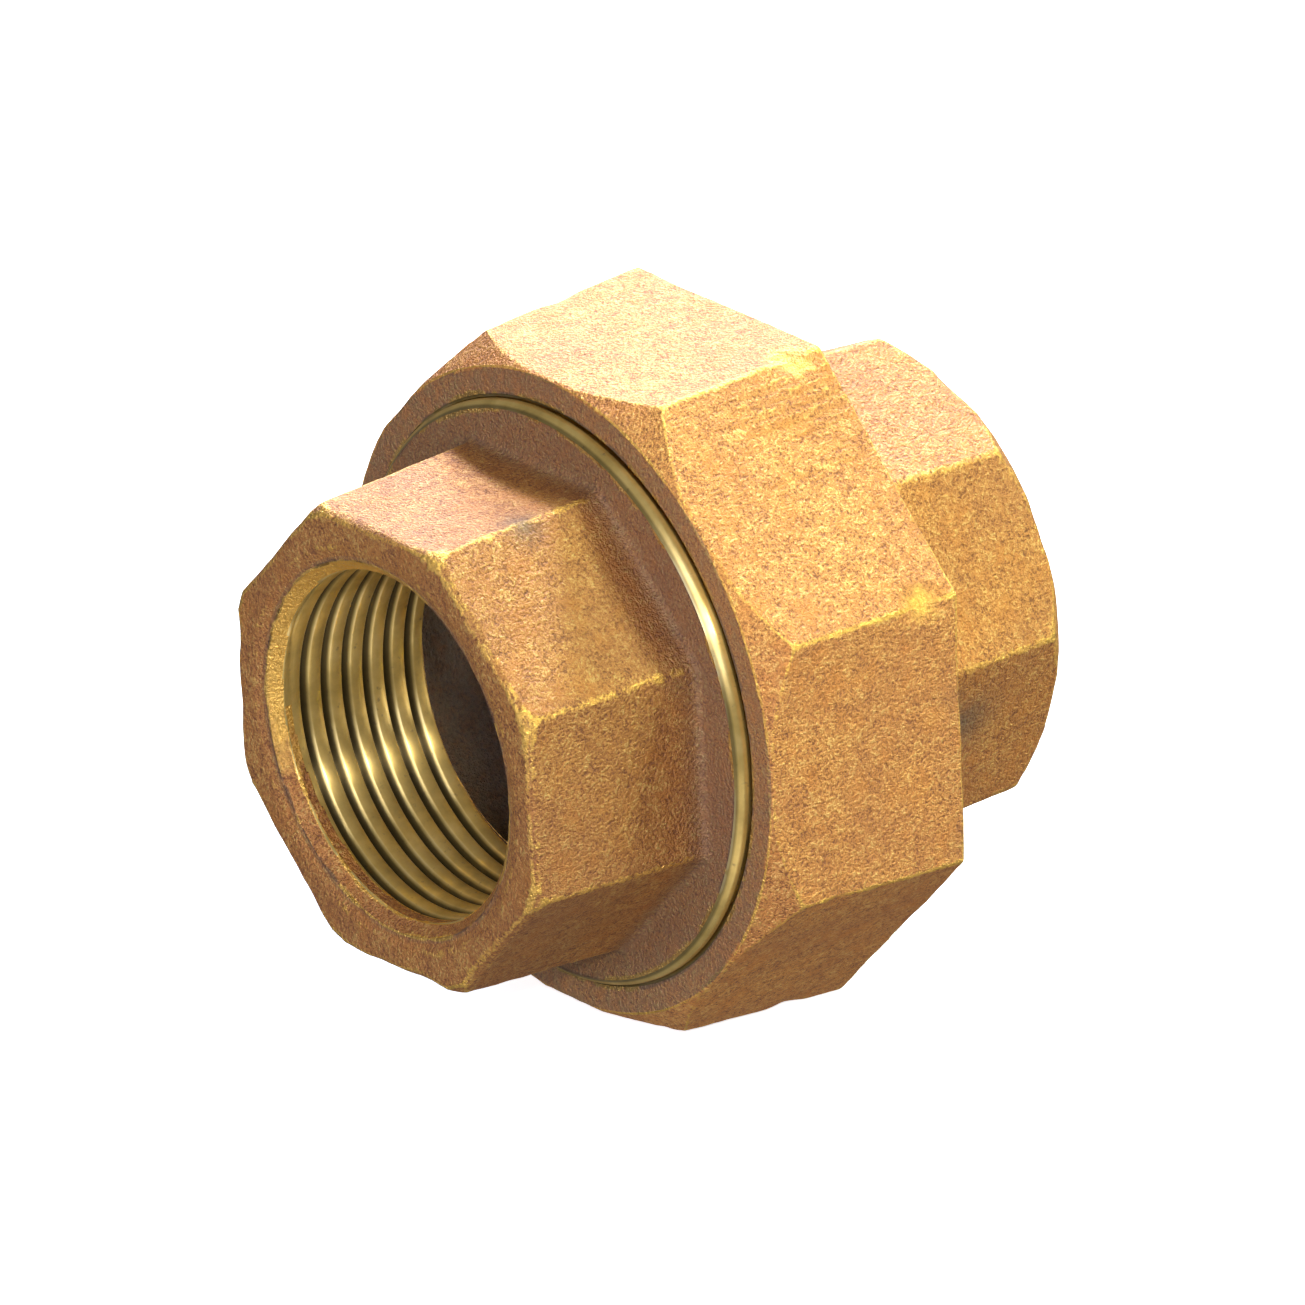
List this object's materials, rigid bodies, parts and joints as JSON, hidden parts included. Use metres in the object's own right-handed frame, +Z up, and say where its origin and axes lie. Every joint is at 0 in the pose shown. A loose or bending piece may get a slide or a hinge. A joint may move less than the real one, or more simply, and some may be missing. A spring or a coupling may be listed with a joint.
{
  "type": "pipe union",
  "caption": "Cast bronze pipe union with octagonal threaded ends joined by a large octagonal union nut over a flat seal.",
  "frame": {"origin": "on the pipe axis, half way between the two end faces, which is also the middle of the union nut", "axes": "+X along the pipe axis from the body end to the tailpiece, +Z up, out of a flat of the union nut, which lies on the opposite flat"},
  "size_m": [0.0464, 0.0478, 0.0478],
  "materials": {
    "cast_bronze_body": "sand cast, machined in the pipe thread, the collar's rim and the union thread",
    "cast_bronze_nut": "sand cast, machined in the union thread and the lip",
    "cast_bronze_tail": "sand cast, machined in the pipe thread and on the collar",
    "seal_fibre": "matte pressed fibre"
  },
  "bodies": {
    "body_end": {"body_end": "cast_bronze_body"},
    "seal": {"sealing_ring": "seal_fibre"},
    "union_nut": {"union_nut": "cast_bronze_nut"},
    "tailpiece": {"tailpiece": "cast_bronze_tail"}
  },
  "joints": [
    {"name": "nut_travel", "type": "slide", "parent": "body_end", "child": "seal", "axis": [1, 0, 0], "range_m": [0, 0.00693]},
    {"name": "nut_turn", "type": "hinge", "parent": "seal", "child": "union_nut", "pos_m": [0, 0, 0], "axis": [1, 0, 0], "range_deg": [0, 1080]},
    {"name": "tail_swivel", "type": "hinge", "parent": "seal", "child": "tailpiece", "pos_m": [0.01, 0, 0], "axis": [1, 0, 0], "continuous": true}
  ],
  "couplings": [
    {"joint": "nut_turn", "follows": "nut_travel", "rad_per_m": 2721.1}
  ]
}
